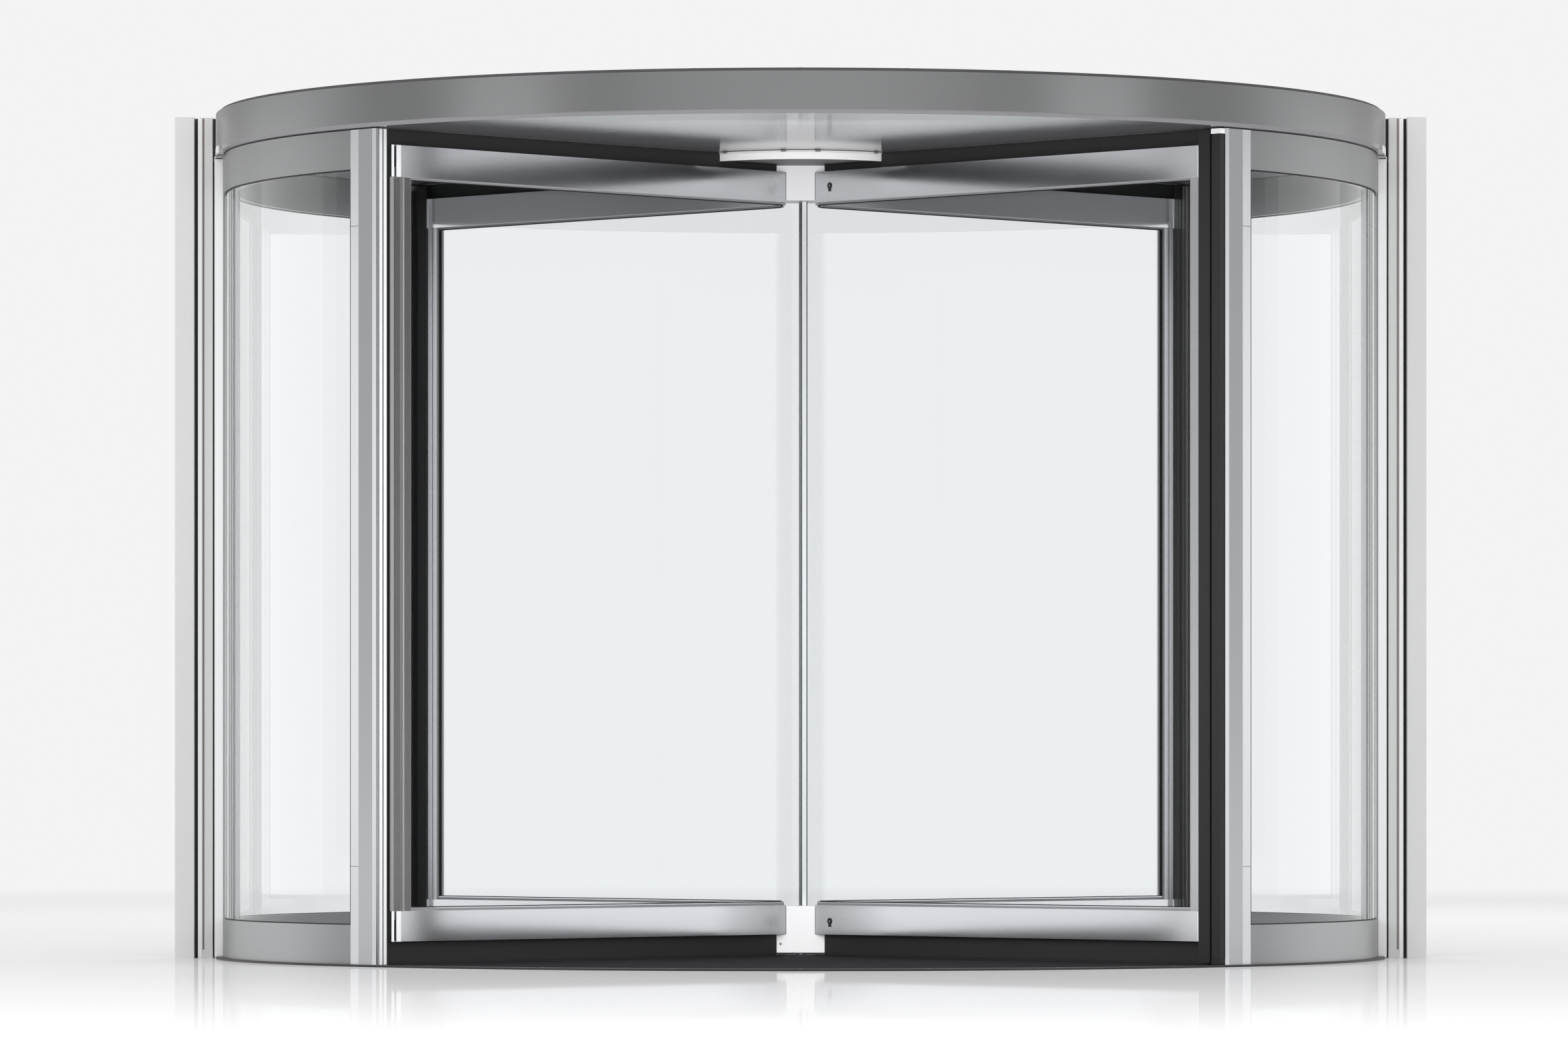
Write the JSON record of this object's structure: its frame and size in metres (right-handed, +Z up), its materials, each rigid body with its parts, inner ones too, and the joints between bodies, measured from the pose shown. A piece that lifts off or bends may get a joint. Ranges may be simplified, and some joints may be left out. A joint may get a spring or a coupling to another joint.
{
  "type": "revolving door",
  "caption": "Round revolving door: a drum with curved glass side walls, open throats and a canopy, round a rotor of framed glass wings with black seals.",
  "frame": {"origin": "on the floor, on the axis that the wings turn about", "axes": "+Z up, +X along the facade to the right seen from the front throat, which faces -Y"},
  "size_m": [3.744, 3.4996, 2.529],
  "materials": {
    "satin_aluminium": "satin anodised, fine vertical grain",
    "canopy_metal": "satin anodised sheet",
    "facade_metal": "satin powder coat, light grey",
    "hub_paint": "satin paint, near white",
    "ceiling_panel": "half gloss panel, light grey",
    "cover_sheet": "matt, dark grey",
    "black_trim": "matt black anodised",
    "bearing_steel": "turned",
    "black_rubber": "matt",
    "entrance_mat": "ribbed, black",
    "clear_glass": "clear toughened, faint blue",
    "clear_gasket": "translucent grey"
  },
  "bodies": {
    "drum": {"floor_ring": "black_trim", "floor_mat": "entrance_mat", "floor_bearing": "bearing_steel", "top_bearing": "bearing_steel", "canopy_fascia_rear": "canopy_metal", "canopy_fascia_front": "canopy_metal", "canopy_ceiling": "ceiling_panel", "canopy_cover": "cover_sheet", "canopy_gasket": "black_rubber", "sweep_strips": "black_rubber", "safety_edges": "black_rubber", "facade_joints": "black_rubber", "facade_adapters": "facade_metal", "head_rails_left": "satin_aluminium", "base_rails_left": "satin_aluminium", "bay_stiles_left": "satin_aluminium", "mid_post_left": "facade_metal", "facade_post_left": "facade_metal", "side_glass_left": "clear_glass", "throat_post_front_left": "satin_aluminium", "throat_post_rear_left": "satin_aluminium", "head_rails_right": "satin_aluminium", "base_rails_right": "satin_aluminium", "bay_stiles_right": "satin_aluminium", "mid_post_right": "facade_metal", "facade_post_right": "facade_metal", "side_glass_right": "clear_glass", "throat_post_front_right": "satin_aluminium", "throat_post_rear_right": "satin_aluminium"},
    "rotor": {"hub_top": "hub_paint", "hub_bottom": "hub_paint", "hanger_disc": "hub_paint", "centre_gasket": "clear_gasket", "wing_rails_front_right": "satin_aluminium", "wing_stile_front_right": "satin_aluminium", "wing_glass_front_right": "clear_glass", "wing_seals_front_right": "black_rubber", "wing_rails_rear_right": "satin_aluminium", "wing_stile_rear_right": "satin_aluminium", "wing_glass_rear_right": "clear_glass", "wing_seals_rear_right": "black_rubber", "wing_rails_rear_left": "satin_aluminium", "wing_stile_rear_left": "satin_aluminium", "wing_glass_rear_left": "clear_glass", "wing_seals_rear_left": "black_rubber", "wing_rails_front_left": "satin_aluminium", "wing_stile_front_left": "satin_aluminium", "wing_glass_front_left": "clear_glass", "wing_seals_front_left": "black_rubber"}
  },
  "joints": [
    {"name": "rotor_spin", "type": "hinge", "parent": "drum", "child": "rotor", "pos_m": [0, 0, 0], "axis": [0, 0, 1], "continuous": true}
  ]
}
